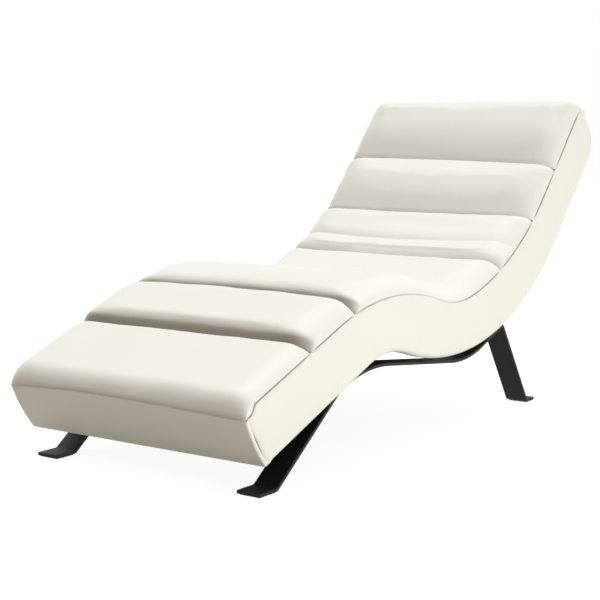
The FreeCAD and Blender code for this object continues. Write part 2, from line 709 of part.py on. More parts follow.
# Runners, their packers below the body at the rear, and the glides under their foot plates.
packer_inner = f"{runner_outer} - (Sizes.runner_width + Sizes.spacer_width) / 2"
packer_outer = f"{packer_inner} + Sizes.spacer_width"
half_packer = size("bolt_pitch") / 2 + size("spacer_margin")
packer_foot = [runner.at(rise_middle + end, half_bar) for end in (-half_packer, half_packer)]
packer_runs = [frame.locate(point)[0] for point in packer_foot]
packer = closed([tuple(packer_foot)], frame.curves(packer_runs[1], packer_runs[0], -gap))
bar = closed(runner.curves(0, runner.length, -half_bar), runner.curves(runner.length, 0, half_bar))
rear_plate = runner.stretches[-1][0]
margin = size("glide_margin")
glide_spans = {
    "front": (margin, runner.stretches[0][1]),
    "rear": (rear_plate, runner.length - margin),
}
for name, side in sides:
    blank = slab(f"bar_{name}", bar, *on_side(side, runner_inner, runner_outer))
    cut(f"runner_{name}", blank, side_drills[name])
    packer_blank = slab(f"packer_{name}", packer, *on_side(side, packer_inner, packer_outer))
    cut(f"runner_spacer_{name}", packer_blank, side_drills[name])
    for end, (begin, finish) in glide_spans.items():
        outline = band(runner, begin, finish, -half_bar - size("glide_thickness"), -half_bar)
        across = on_side(side, f"{runner_inner} + Sizes.glide_margin",
                         f"{runner_outer} - Sizes.glide_margin")
        keep(f"glide_{end}_{name}", slab(f"glide_{end}_{name}", outline, *across))

# Every object has to be sound before anything is written.
doc.recompute()
for item in doc.Objects:
    if "Invalid" in item.State or "Error" in item.State:
        raise RuntimeError(f"{item.Label} failed: {item.State}")
for label, piece in nodes.items():
    if piece.Shape.isNull() or not piece.Shape.isValid() or not piece.Shape.Solids:
        raise RuntimeError(f"{label} has no sound shape")
for label, piece in nodes.items():
    piece.Shape.exportStep(f"parts/{label}.step")
box = Part.Compound([piece.Shape for piece in nodes.values()]).optimalBoundingBox(False)
print(f"{len(nodes)} pieces, {box.XLength:.1f} x {box.YLength:.1f} x {box.ZLength:.1f} mm")
print(f"origin off the middle by {(box.YMin + box.YMax) / 2:.3f} mm, lowest point {box.ZMin:.3f} mm")
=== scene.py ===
import json
import math
import bpy
import numpy as np
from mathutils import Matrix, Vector, noise


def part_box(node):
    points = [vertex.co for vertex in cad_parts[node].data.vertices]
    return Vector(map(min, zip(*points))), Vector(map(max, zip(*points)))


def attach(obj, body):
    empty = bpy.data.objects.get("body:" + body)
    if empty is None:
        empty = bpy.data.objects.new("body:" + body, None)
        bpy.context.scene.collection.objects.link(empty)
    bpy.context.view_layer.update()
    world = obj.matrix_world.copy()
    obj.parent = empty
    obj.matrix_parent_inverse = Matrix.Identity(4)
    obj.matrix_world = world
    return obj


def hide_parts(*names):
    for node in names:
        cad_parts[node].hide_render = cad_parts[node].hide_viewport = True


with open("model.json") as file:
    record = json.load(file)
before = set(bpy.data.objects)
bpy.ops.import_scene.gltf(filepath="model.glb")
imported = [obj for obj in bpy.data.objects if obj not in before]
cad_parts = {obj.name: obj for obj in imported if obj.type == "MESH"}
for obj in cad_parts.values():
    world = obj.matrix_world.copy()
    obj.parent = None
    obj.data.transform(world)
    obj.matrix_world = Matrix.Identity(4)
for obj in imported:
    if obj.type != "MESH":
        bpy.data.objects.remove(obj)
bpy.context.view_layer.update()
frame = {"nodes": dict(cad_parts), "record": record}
scene = bpy.context.scene
nodes = frame["nodes"]
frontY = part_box("runner_left")[0][1]  # front edge of the foot plates
print("frame loaded, plates start at", round(frontY, 4))


# side view of the body: metres and degrees, going from the foot end to the head end
body = {
    "halfWidth": 0.348,
    "footSetback": 0.0003,
    "footHeight": 0.0716,
    "footDepth": 0.143,
    "headings": {"leg": 21.3, "knee": -17.6, "seat": 14.2, "back": 47.0},
    "under": {"leg": 0.440, "knee": 0.260, "seat": 0.777, "back": 0.823},
    "seam": {"leg": 0.361, "knee": 0.664, "seat": 0.336, "back": 0.842},
    "headRadius": 0.076,
    "headLipDrop": 0.016,
    "footLipReach": 0.024,
    "footLipDrop": 0.017,
    "endPadding": 0.013,
    "edgeRadius": 0.014,
    "flapEdge": 0.324,
    "rearBend": 0.0983,
    "dustReach": 0.032,
}
pathSteps = 80
padLengths = {"foot": 0.237, "calf": 0.189, "seat": 0.732, "lumbar": 0.222, "back": 0.194, "head": 0.250}


def tracePath(start, heading, runs):
    # rows of run, y, z and heading; a run is (length, None) or (radius, heading at its end)
    rows = [(0.0, start[0], start[1], heading)]
    for amount, target in runs:
        run, y, z, first = rows[-1]
        turn = 0.0 if target is None else math.radians(target) - first
        length = amount if target is None else amount * abs(turn)
        for part in np.linspace(0, 1, pathSteps)[1:]:
            now = first + turn * part
            reach = length * part
            dy, dz = reach * math.cos(first), reach * math.sin(first)
            if turn:
                radius = math.copysign(amount, turn)
                dy = radius * (math.sin(now) - math.sin(first))
                dz = radius * (math.cos(first) - math.cos(now))
            rows.append((run + reach, y + dy, z + dz, now))
    return np.array(rows)


def along(path, run, lift=0.0):
    # y and z at a run and a lift to the left of the path; beyond its ends it goes straight on
    run = np.asarray(run, float)
    inside = np.clip(run, 0.0, path[-1, 0])
    y, z, heading = (np.interp(inside, path[:, 0], path[:, column]) for column in (1, 2, 3))
    over = run - inside
    cos, sin = np.cos(heading), np.sin(heading)
    return y + over * cos - lift * sin, z + over * sin + lift * cos


def bodyPaths(sizes):
    leg = math.radians(sizes["headings"]["leg"])
    start = (frontY + sizes["footSetback"], sizes["footHeight"])

    def bends(radii):
        curves = [(radii[name], sizes["headings"][name]) for name in ("knee", "seat", "back")]
        return [(radii["leg"], None)] + curves

    depth = sizes["footDepth"]
    seamStart = (start[0] - depth * math.sin(leg), start[1] + depth * math.cos(leg))
    seam = tracePath(seamStart, leg, bends(sizes["seam"]))
    rest = sum(padLengths.values()) - seam[-1, 0]
    seam = tracePath(seamStart, leg, bends(sizes["seam"]) + [(rest, None)])
    bent = tracePath(start, leg, bends(sizes["under"]))
    dy, dz, heading = seam[-1, 1] - bent[-1, 1], seam[-1, 2] - bent[-1, 2], bent[-1, 3]
    straight = dy * math.cos(heading) + dz * math.sin(heading) - sizes["headRadius"]
    rise = dz * math.cos(heading) - dy * math.sin(heading) - sizes["headRadius"] - sizes["headLipDrop"]
    head = [(straight, None), (sizes["headRadius"], sizes["headings"]["back"] + 90.0), (rise, None)]
    under = tracePath(start, leg, bends(sizes["under"]) + head)
    return under, seam, bent[-1, 0] + straight


under, seam, backEnd = bodyPaths(body)
underEnd, seamEnd = under[-1, 0], seam[-1, 0]
creaseRuns = np.cumsum(list(padLengths.values()))[:-1]
seatEnd = tracePath((0.0, 0.0), math.radians(body["headings"]["leg"]),
                    [(body["under"]["leg"], None), (body["under"]["knee"], body["headings"]["knee"]),
                     (body["under"]["seat"], body["headings"]["seat"])])[-1, 0]
coverJoint = seatEnd + body["rearBend"] + body["dustReach"]
print("paths traced, head seam at", [round(float(v), 3) for v in along(seam, seamEnd)])


# mesh helpers
tiny = 1e-6
seedDrift = 0.37


def gridFaces(rows, columns, first=0, flip=False):
    index = first + np.arange(rows * columns).reshape(rows, columns)
    quads = np.stack([index[:-1, :-1], index[:-1, 1:], index[1:, 1:], index[1:, :-1]], -1).reshape(-1, 4)
    return (quads[:, ::-1] if flip else quads).tolist()


def makePiece(name, points, faces):
    mesh = bpy.data.meshes.new(name)
    mesh.from_pydata(np.asarray(points).reshape(-1, 3).tolist(), [], faces)
    mesh.validate()
    mesh.shade_smooth()
    piece = bpy.data.objects.new(name, mesh)
    scene.collection.objects.link(piece)
    return piece


def readPoints(mesh):
    points = np.empty(len(mesh.vertices) * 3)
    mesh.vertices.foreach_get("co", points)
    return points.reshape(-1, 3)


def writePoints(piece, points):
    piece.data.vertices.foreach_set("co", np.asarray(points, float).ravel())
    piece.data.update()


def finishPiece(piece, material, replaced, thickness=0.0, levels=1):
    if thickness:
        shell = piece.modifiers.new("thickness", "SOLIDIFY")
        shell.thickness = thickness
        shell.offset = -1.0
    if levels:
        fine = piece.modifiers.new("fine", "SUBSURF")
        fine.levels = levels
        fine.render_levels = levels
    piece.data.materials.clear()
    piece.data.materials.append(material)
    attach(piece, "root")
    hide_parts(*replaced)


def markPoints(piece, name, values):
    marks = piece.data.attributes.new(name, "FLOAT", "POINT")
    marks.data.foreach_set("value", np.ravel(values))


def ripple(where, scale, seed):
    # smooth noise along a line, the same each time
    spots = [Vector((float(place) * scale, seed, seedDrift * seed)) for place in np.ravel(where)]
    return np.array([noise.noise(spot) for spot in spots])


# materials
def newMaterial(name, color, roughness):
    material = bpy.data.materials.new(name)
    material.use_nodes = True
    shader = material.node_tree.nodes["Principled BSDF"]
    shader.inputs["Base Color"].default_value = (*color, 1.0)
    shader.inputs["Roughness"].default_value = roughness
    return material, material.node_tree, shader


def newGroup(name, inputs, outputs):
    group = bpy.data.node_groups.new(name, "ShaderNodeTree")
    for label, kind, value in inputs:
        socket = group.interface.new_socket(name=label, in_out="INPUT", socket_type=kind)
        if value is not None:
            socket.default_value = value
    for label, kind in outputs:
        group.interface.new_socket(name=label, in_out="OUTPUT", socket_type=kind)
    return group, group.nodes.new("NodeGroupInput"), group.nodes.new("NodeGroupOutput")


grainDetail = {"fine": 4.0, "cloud": 3.0, "cellHeight": 0.6}
weaveDetail = {"distortion": 0.4, "bump": 0.4}


def surfaceGrain():
    # fine cells for the height, a slow cloud for the colour; used by hide, coat, foam, plastic and zinc
    group, start, end = newGroup("surfaceGrain", [("Cells", "NodeSocketFloat", 900.0),
                                                  ("Clouds", "NodeSocketFloat", 6.0),
                                                  ("Dark", "NodeSocketColor", (0.5, 0.5, 0.5, 1.0)),
                                                  ("Light", "NodeSocketColor", (0.6, 0.6, 0.6, 1.0))],
                                 [("Color", "NodeSocketColor"), ("Height", "NodeSocketFloat"),
                                  ("Cloud", "NodeSocketFloat")])
    nodesHere, link = group.nodes, group.links.new
    place = nodesHere.new("ShaderNodeTexCoord")
    cells = nodesHere.new("ShaderNodeTexVoronoi")
    cells.feature = "SMOOTH_F1"
    fine = nodesHere.new("ShaderNodeTexNoise")
    fine.inputs["Detail"].default_value = grainDetail["fine"]
    cloud = nodesHere.new("ShaderNodeTexNoise")
    cloud.inputs["Detail"].default_value = grainDetail["cloud"]
    height = nodesHere.new("ShaderNodeMath")
    height.operation = "MULTIPLY_ADD"
    height.inputs[1].default_value = grainDetail["cellHeight"]
    color = nodesHere.new("ShaderNodeMix")
    color.data_type = "RGBA"
    for node in (cells, fine, cloud):
        link(place.outputs["Object"], node.inputs["Vector"])
    link(start.outputs["Cells"], cells.inputs["Scale"])
    link(start.outputs["Cells"], fine.inputs["Scale"])
    link(start.outputs["Clouds"], cloud.inputs["Scale"])
    link(cells.outputs["Distance"], height.inputs[0])
    link(fine.outputs["Fac"], height.inputs[2])
    link(cloud.outputs["Fac"], color.inputs["Factor"])
    link(start.outputs["Dark"], color.inputs["A"])
    link(start.outputs["Light"], color.inputs["B"])
    link(color.outputs["Result"], end.inputs["Color"])
    link(height.outputs["Value"], end.inputs["Height"])
    link(cloud.outputs["Fac"], end.inputs["Cloud"])
    return group


def clothWeave():
    # two crossed bands of thread; used by the dust cloth and the webbing
    group, start, end = newGroup("clothWeave", [("Threads", "NodeSocketFloat", 400.0),
                                                ("Dark", "NodeSocketColor", (0.02, 0.02, 0.02, 1.0)),
                                                ("Light", "NodeSocketColor", (0.05, 0.05, 0.05, 1.0))],
                                 [("Color", "NodeSocketColor"), ("Height", "NodeSocketFloat")])
    nodesHere, link = group.nodes, group.links.new
    place = nodesHere.new("ShaderNodeTexCoord")
    bands = []
    for direction in ("X", "Y"):
        band = nodesHere.new("ShaderNodeTexWave")
        band.bands_direction = direction
        band.inputs["Distortion"].default_value = weaveDetail["distortion"]
        link(place.outputs["Object"], band.inputs["Vector"])
        link(start.outputs["Threads"], band.inputs["Scale"])
        bands.append(band)
    height = nodesHere.new("ShaderNodeMath")
    height.operation = "MULTIPLY"
    color = nodesHere.new("ShaderNodeMix")
    color.data_type = "RGBA"
    link(bands[0].outputs["Fac"], height.inputs[0])
    link(bands[1].outputs["Fac"], height.inputs[1])
    link(height.outputs["Value"], color.inputs["Factor"])
    link(start.outputs["Dark"], color.inputs["A"])
    link(start.outputs["Light"], color.inputs["B"])
    link(color.outputs["Result"], end.inputs["Color"])
    link(height.outputs["Value"], end.inputs["Height"])
    return group


grainGroup = surfaceGrain()
weaveGroup = clothWeave()


def grained(name, look):
    material, tree, shader = newMaterial(name, look["light"], look["roughness"][0])
    grain = tree.nodes.new("ShaderNodeGroup")
    grain.node_tree = grainGroup
    grain.inputs["Cells"].default_value = look["cells"]
    grain.inputs["Clouds"].default_value = look["clouds"]
    grain.inputs["Dark"].default_value = (*look["dark"], 1.0)
    grain.inputs["Light"].default_value = (*look["light"], 1.0)
    bump = tree.nodes.new("ShaderNodeBump")
    bump.inputs["Strength"].default_value = look["bump"]
    bump.inputs["Distance"].default_value = look["depth"]
    rough = tree.nodes.new("ShaderNodeMapRange")
    rough.inputs["To Min"].default_value, rough.inputs["To Max"].default_value = look["roughness"]
    link = tree.links.new
    link(grain.outputs["Color"], shader.inputs["Base Color"])
    if "crease" in look:
        # painted shade: the creases and seams of the pads are marked on their meshes, and the mark mixes
        # the dark crease colour into the leather
        mark = tree.nodes.new("ShaderNodeAttribute")
        mark.attribute_name = "creaseShade"
        shade = tree.nodes.new("ShaderNodeMix")
        shade.data_type = "RGBA"
        shade.inputs["B"].default_value = (*look["crease"], 1.0)
        link(mark.outputs["Fac"], shade.inputs["Factor"])
        link(grain.outputs["Color"], shade.inputs["A"])
        link(shade.outputs["Result"], shader.inputs["Base Color"])
    link(grain.outputs["Height"], bump.inputs["Height"])
    link(bump.outputs["Normal"], shader.inputs["Normal"])
    link(grain.outputs["Cloud"], rough.inputs["Value"])
    link(rough.outputs["Result"], shader.inputs["Roughness"])
    shader.inputs["Specular IOR Level"].default_value = look["specular"]
    shader.inputs["Metallic"].default_value = look.get("metal", 0.0)
    return material


def woven(name, look):
    material, tree, shader = newMaterial(name, look["light"], look["roughness"])
    weave = tree.nodes.new("ShaderNodeGroup")
    weave.node_tree = weaveGroup
    weave.inputs["Threads"].default_value = look["threads"]
    weave.inputs["Dark"].default_value = (*look["dark"], 1.0)
    weave.inputs["Light"].default_value = (*look["light"], 1.0)
    bump = tree.nodes.new("ShaderNodeBump")
    bump.inputs["Strength"].default_value = weaveDetail["bump"]
    bump.inputs["Distance"].default_value = look["depth"]
    tree.links.new(weave.outputs["Color"], shader.inputs["Base Color"])
    tree.links.new(weave.outputs["Height"], bump.inputs["Height"])
    tree.links.new(bump.outputs["Normal"], shader.inputs["Normal"])
    return material


def plyWood(name, look):
    material, tree, shader = newMaterial(name, look["light"], look["roughness"])
    place = tree.nodes.new("ShaderNodeTexCoord")
    rings = tree.nodes.new("ShaderNodeTexWave")
    rings.inputs["Scale"].default_value = look["rings"]
    rings.inputs["Distortion"].default_value = look["warp"]
    rings.inputs["Detail"].default_value = look["detail"]
    tone = tree.nodes.new("ShaderNodeMix")
    tone.data_type = "RGBA"
    tone.inputs["A"].default_value = (*look["dark"], 1.0)
    tone.inputs["B"].default_value = (*look["light"], 1.0)
    tree.links.new(place.outputs["Object"], rings.inputs["Vector"])
    tree.links.new(rings.outputs["Fac"], tone.inputs["Factor"])
    tree.links.new(tone.outputs["Result"], shader.inputs["Base Color"])
    return material


finishes = {
    "cream_leather": grained("creamHide", {
        "light": (0.875, 0.860, 0.834), "dark": (0.858, 0.841, 0.81), "cells": 620.0, "clouds": 5.0,
        "bump": 0.12, "depth": 0.0006, "roughness": (0.44, 0.54), "specular": 0.35,
        # painted shade: the dark colour mixed into the creases and along the seams
        "crease": (0.30, 0.275, 0.225)}),
    "black_steel": grained("powderCoat", {
        "light": (0.0125, 0.0125, 0.013), "dark": (0.0095, 0.0095, 0.010), "cells": 1400.0, "clouds": 8.0,
        "bump": 0.25, "depth": 0.0004, "roughness": (0.50, 0.62), "specular": 0.22}),
    "foam": grained("cutFoam", {
        "light": (0.80, 0.74, 0.55), "dark": (0.70, 0.64, 0.45), "cells": 500.0, "clouds": 12.0,
        "bump": 0.5, "depth": 0.0010, "roughness": (0.85, 0.95), "specular": 0.2}),
    "black_plastic": grained("mouldedPlastic", {
        "light": (0.030, 0.030, 0.030), "dark": (0.022, 0.022, 0.022), "cells": 900.0, "clouds": 10.0,
        "bump": 0.15, "depth": 0.0003, "roughness": (0.45, 0.60), "specular": 0.4}),
    "zinc_steel": grained("zincPlate", {
        "light": (0.60, 0.60, 0.61), "dark": (0.48, 0.48, 0.49), "cells": 1200.0, "clouds": 30.0,
        "bump": 0.1, "depth": 0.0002, "roughness": (0.30, 0.42), "specular": 0.5, "metal": 1.0}),
    "webbing": woven("elasticWebbing", {
        "light": (0.055, 0.055, 0.06), "dark": (0.02, 0.02, 0.022), "threads": 300.0, "depth": 0.0008,
        "roughness": 0.8}),
    "dust_cloth": woven("dustCloth", {
        "light": (0.035, 0.035, 0.037), "dark": (0.016, 0.016, 0.017), "threads": 420.0, "depth": 0.0004,
        "roughness": 0.9}),
    "plywood": plyWood("birchPly", {
        "light": (0.62, 0.47, 0.30), "dark": (0.50, 0.36, 0.21), "rings": 22.0, "warp": 6.0,
        "detail": 3.0, "roughness": 0.6}),
}
leather = finishes["cream_leather"]
for subpart in frame["record"]["subparts"]:
    mesh = nodes[subpart["node"]].data
    mesh.materials.clear()
    mesh.materials.append(finishes[subpart["material_slot"]])
print("materials made:", len(finishes))


# pads: each comes up from its sewn crease, follows the seam at its crown and falls to the next crease
padShape = {
    "crowns": {"foot": 0.031, "calf": 0.042, "seat": 0.041, "lumbar": 0.036, "back": 0.038, "head": 0.042},
    "edgeCrown": 0.007,
    "creaseHeights": (0.003, 0.005, 0.006, 0.023, 0.026),
    "edgeCrease": 0.002,
    "riseRolls": {"foot": 0.052, "calf": 0.032, "seat": 0.032,
                  "lumbar": 0.038, "back": 0.115, "head": 0.150},
    "fallRolls": {"foot": 0.025, "calf": 0.030, "seat": 0.024,
                  "lumbar": 0.028, "back": 0.028, "head": 0.030},
    "rollEase": 0.82,
    "longSlope": 1.9,
    "slopePower": 2.4,
    "bows": (0.0, 0.022, -0.024, -0.005, 0.005),
    "leans": (0.0, 0.0, 0.0, 0.0, 0.015),
    "lipArch": 0.012,
    # painted shade: how dark each crease is painted, where the painted shade starts and how far it reaches,
    # and the painted shade along the seams
    "shades": {"foot": 0.55, "calf": 0.95, "seat": 0.95, "lumbar": 0.45, "back": 0.06, "head": 0.03},
    "shadeFrom": {"foot": 0.72, "calf": 0.0, "seat": 0.0, "lumbar": 0.0, "back": 0.0, "head": 0.0},
    "shadeReach": {"foot": 0.28, "calf": 0.26, "seat": 0.24, "lumbar": 0.80, "back": 1.0, "head": 1.0},
    "seamShade": 0.32,
    "creaseNotch": 0.004,
    "gap": 0.0006,
    "rest": 0.0003,
    "lipEdge": 0.0008,
    "sideRoll": 0.060,
    "sideTuck": 0.003,
    "foldPlace": 0.092,
    "foldDepth": 0.006,
    "foldFade": 0.35,
    "edgeFold": 0.001,
    "foldRoll": 0.044,
    "foldRows": 4,
    "rollRows": 11,
    "sideRows": 9,
    "step": 0.012,
}
padSwell = {"pressure": 4.0, "frames": 20, "cap": 0.008, "growth": -0.008, "smooth": 14,
            "quality": 4, "stretch": 15.0, "bend": 2.0}
padPucker = {"depth": 0.0014, "reach": 0.022, "scale": 22.0, "clear": 0.002, "seedStep": 5}
padSeeds = {"first": 3.0, "step": 7.0}
padUneven = {"depth": 0.0016, "frontDepth": 0.0040, "frontReach": 0.060, "scale": 7.0}


def shoulder(low, top, count):
    # from a low point up into a level top point: a wall and a roll where it is taller than long,
    # a gentle slope where it is much longer than tall, and an arc between the two
    reach, drop = top[0] - low[0], top[1] - low[1]
    if drop > abs(reach):
        turns = np.linspace(math.pi / 2, 0.0, count - 2)
        ease = padShape["rollEase"]
        runs = top[0] - reach * np.sin(turns) ** ease
        lifts = top[1] - abs(reach) * (1 - np.cos(turns) ** ease)
        wall = np.linspace(low[1], lifts[0], 3)[:-1]
        return np.append([low[0], low[0]], runs), np.append(wall, lifts)
    if abs(reach) > padShape["longSlope"] * drop:
        shares = np.linspace(1.0, 0.0, count)
        return top[0] - reach * shares, top[1] - drop * shares ** padShape["slopePower"]
    radius = (reach * reach + drop * drop) / (2 * drop)
    turns = np.linspace(math.asin(abs(reach) / radius), 0.0, count)
    return top[0] - math.copysign(radius, reach) * np.sin(turns), top[1] - radius * (1 - np.cos(turns))


def lobe(begin, finish, crown, lows, rolls, count):
    first, last = begin + rolls[0], finish - rolls[1]
    rise = shoulder((begin, lows[0]), (first, crown), padShape["rollRows"])
    fall = shoulder((finish, lows[1]), (last, crown), padShape["rollRows"])
    level = np.linspace(first, last, count)[1:-1]
    runs = np.concatenate([rise[0], level, fall[0][::-1]])
    return runs, np.concatenate([rise[1], np.full(len(level), crown), fall[1][::-1]])


def lipArch(x):
    # how far the front seam rises between its two corners, most of all on the right half
    side = np.clip(x / body["halfWidth"], -1, 1)
    return padShape["lipArch"] * (1 - side * side) * (1 - side / 2)


def padProfile(pad, fullness, x):
    shape = padShape
    crown = shape["edgeCrown"] + (shape["crowns"][pad] - shape["edgeCrown"]) * fullness
    notch = shape["gap"] / 2 + shape["creaseNotch"] * (1 - fullness)
    place = list(padLengths).index(pad)
    curve = 1 - (x / body["halfWidth"]) ** 2
    lean = (1 - x / body["halfWidth"]) / 2
    creases = creaseRuns + np.array(shape["bows"]) * curve + np.array(shape["leans"]) * lean
    ends = [0.0, *creases, seamEnd]
    begin, finish = ends[place] + notch, ends[place + 1] - notch
    heights = [0.0, *shape["creaseHeights"], 0.0]
    lows = [shape["edgeCrease"] + (heights[place + end] - shape["edgeCrease"]) * fullness for end in (0, 1)]
    rolls = [shape["riseRolls"][pad], shape["fallRolls"][pad]]
    if pad == "foot":
        begin, lows[0] = -body["footLipReach"], lipArch(x) - body["footLipDrop"]
    if pad == "head":
        finish, lows[1] = seamEnd, -body["headLipDrop"]
    count = int(padLengths[pad] / shape["step"])
    if pad != "lumbar":
        return lobe(begin, finish, crown, lows, rolls, count)
    fold = begin - notch + shape["foldPlace"]
    depth = shape["foldDepth"] * (1 - shape["foldFade"] * x / body["halfWidth"])
    dip = crown - shape["edgeFold"] - (depth - shape["edgeFold"]) * fullness
    lower = lobe(begin, fold, crown, (lows[0], dip), (rolls[0], shape["foldRoll"]), shape["foldRows"])
    upper = lobe(fold, finish, crown, (dip, lows[1]), (shape["foldRoll"], rolls[1]), count // 2)
    return tuple(np.concatenate([low, high[1:]]) for low, high in zip(lower, upper))


def padColumns():
    # distances across the body, with the share of the full crown at each
    turns = np.radians(np.linspace(0, 90, padShape["sideRows"]))
    edge = body["halfWidth"] - padShape["sideRoll"] * (1 - np.cos(turns))
    inner = body["halfWidth"] - padShape["sideRoll"]
    middle = np.linspace(-inner, inner, int(2 * inner / padShape["step"]))[1:-1]
    across = np.concatenate([-edge, middle, edge[::-1]])
    return across, np.concatenate([np.sin(turns), np.ones(len(middle)), np.sin(turns)[::-1]])


def creaseMarks(pad, lifts, fullness):
    # the share of the way down from the crown, and the painted shade that darkens the crease in front of
    # the pad
    crown = lifts.max(axis=0)
    depth = np.clip((crown - lifts) / np.maximum(crown - lifts[0], tiny), 0, 1)
    ramp = depth.copy()
    ramp[padShape["rollRows"]:] = 0.0
    ramp = np.clip((ramp - padShape["shadeFrom"][pad]) / padShape["shadeReach"][pad], 0, 1)
    return depth, padShape["shades"][pad] * ramp * ramp * (3 - 2 * ramp) * fullness


def roughen(pad, seed, across, fullness, runs, lifts, depth):
    # hand-filled pads are a little uneven, most of all round the front of the foot pad
    front = padUneven["frontDepth"] * np.exp(-np.abs(runs) / padUneven["frontReach"])
    swing = padUneven["depth"] + (front if pad == "foot" else 0.0)
    spots = [[Vector((x, run, seed)) * padUneven["scale"] for x, run in zip(across, row)] for row in runs]
    cloud = np.array([[noise.noise(spot) for spot in row] for row in spots])
    lifts = lifts + swing * cloud * fullness * (1 - depth ** 2)
    # short puckers where the pad is sewn into its creases
    for end, row in ((0, runs[0]), (1, runs[-1])):
        if (pad, end) in (("foot", 0), ("head", 1)):
            continue
        wave = ripple(across, padPucker["scale"], seed + padPucker["seedStep"] * end)
        near = np.abs(runs - row)
        pucker = padPucker["depth"] * wave * np.exp(-near / padPucker["reach"])
        lifts = lifts + pucker * (near > padPucker["clear"])
    return lifts


def padFloor(pad, across, runs):
    # flat lower side, with the lip over the foot or head end
    lipEdge = padShape["lipEdge"] if pad == "head" else 0.0
    lowRuns = np.linspace(runs[0], runs[-1] - lipEdge, len(runs))
    lowLifts = np.full(runs.shape, padShape["rest"])
    if pad == "foot":
        lowLifts = np.where(lowRuns < body["endPadding"], lipArch(across) - body["footLipDrop"], lowLifts)
    if pad == "head":
        lowLifts[lowRuns > seamEnd - body["endPadding"]] = -body["headLipDrop"]
    y, z = along(seam, lowRuns, lowLifts)
    tucked = across * (1 - padShape["sideTuck"] / body["halfWidth"])
    return np.stack([np.broadcast_to(tucked, runs.shape), y, z], -1)


def buildPad(pad, seed):
    across, fullness = padColumns()
    profiles = [padProfile(pad, share, x) for share, x in zip(fullness, across)]
    runs = np.array([profile[0] for profile in profiles]).T
    lifts = np.array([profile[1] for profile in profiles]).T
    depth, shade = creaseMarks(pad, lifts, fullness)
    y, z = along(seam, runs, roughen(pad, seed, across, fullness, runs, lifts, depth))
    top = np.stack([np.broadcast_to(across, runs.shape), y, z], -1)
    bottom = padFloor(pad, across, runs)
    rows, columns = runs.shape
    count = rows * columns
    upper = np.arange(count).reshape(rows, columns)
    faces = gridFaces(rows, columns) + gridFaces(rows, columns, count, True)
    rims = [upper[0], upper[:, -1], upper[-1, ::-1], upper[::-1, 0]]
    for rim in rims:
        for a, b in zip(rim[:-1].tolist(), rim[1:].tolist()):
            faces.append((b, a, a + count, b + count))
    piece = makePiece(pad + "Pad", np.concatenate([top.reshape(-1, 3), bottom.reshape(-1, 3)]), faces)
    # painted shade along the seam, on the lower rim of the pad's edge wall
    seamShade = np.zeros(shade.shape)
    seamShade[:, [0, -1]] = padShape["seamShade"]
    markPoints(piece, "creaseShade", [shade, seamShade])
    markPoints(piece, "swellShare", [1 - depth, np.zeros(depth.shape)])
    sewn = set(range(count, 2 * count))
    for rim in rims:
        sewn.update(rim.tolist())
    piece.vertex_groups.new(name="sewn").add(sorted(sewn), 1.0, "REPLACE")
    piece["rows"], piece["columns"] = rows, columns
    return piece


def swellPads(pieces, look):
    # air pressure under the leather, held at every sewn edge
    before = {}
    for piece in pieces:
        before[piece] = readPoints(piece.data)
        cloth = piece.modifiers.new("swell", "CLOTH")
        settings = cloth.settings
        settings.quality = look["quality"]
        settings.use_pressure = True
        settings.uniform_pressure_force = look["pressure"]
        settings.shrink_min = look["growth"]
        settings.vertex_group_mass = "sewn"
        settings.effector_weights.gravity = 0.0
        settings.tension_stiffness = look["stretch"]
        settings.compression_stiffness = look["stretch"]
        settings.bending_stiffness = look["bend"]
        cloth.collision_settings.use_collision = False
        cloth.point_cache.frame_start = 1
        cloth.point_cache.frame_end = look["frames"]
    for step in range(1, look["frames"] + 1):
        scene.frame_set(step)
    graph = bpy.context.evaluated_depsgraph_get()
    after = {piece: readPoints(piece.evaluated_get(graph).data) for piece in pieces}
    for piece in pieces:
        move = after[piece] - before[piece]
        # the leather is too stiff for the finest wrinkles
        top = move[:piece["rows"] * piece["columns"]].reshape(piece["rows"], piece["columns"], 3)
        for again in range(look["smooth"]):
            around = top[:-2, 1:-1] + top[2:, 1:-1] + top[1:-1, :-2] + top[1:-1, 2:]
            top[1:-1, 1:-1] = (top[1:-1, 1:-1] + around / 4) / 2
        length = np.linalg.norm(move, axis=1, keepdims=True)
        print(piece.name, "swells by", round(float(length.max()) * 1000, 1), "mm")
        share = np.empty(len(move))
        piece.data.attributes["swellShare"].data.foreach_get("value", share)
        move *= share[:, None] * np.minimum(1.0, look["cap"] / np.maximum(length, tiny))
        piece.modifiers.remove(piece.modifiers["swell"])
        writePoints(piece, before[piece] + move)
    scene.frame_set(1)


pads = [buildPad(pad, padSeeds["first"] + padSeeds["step"] * place) for place, pad in enumerate(padLengths)]
swellPads(pads, padSwell)
for pad, piece in zip(padLengths, pads):
    finishPiece(piece, leather, [pad + "_pad"])
print("pads made:", len(pads))


# side covers: turned under along the lower edge, sewn to the pads along the seam
sideShape = {
    "columns": 220,
    "columnCrowding": 1.15,
    "rows": 20,
    "rowCrowding": 1.5,
    "rollRows": 7,
    "bulge": 0.003,
    "bulgePower": 0.7,
    "topTuck": 0.003,
    "tuckReach": 0.005,
    "frontStart": 0.008,
    "frontTuck": 0.0045,
    "frontReach": 0.007,
    "runOut": {"reach": 0.03, "front": 0.3, "head": 0.05},
    "headRun": 0.07,
    "lipReach": 0.020,
    "seamDrop": 0.0005,
    "headEdge": 0.008,
    "edgeSeam": {"lift": 0.0185, "depth": 0.0011, "width": 0.0016},
    "dimple": {"depth": 0.0022, "length": 0.014, "fall": 0.022},
    "tick": {"crease": 1, "depth": 0.0016, "length": 0.0016, "fall": 0.016},
    "skin": 0.003,
}


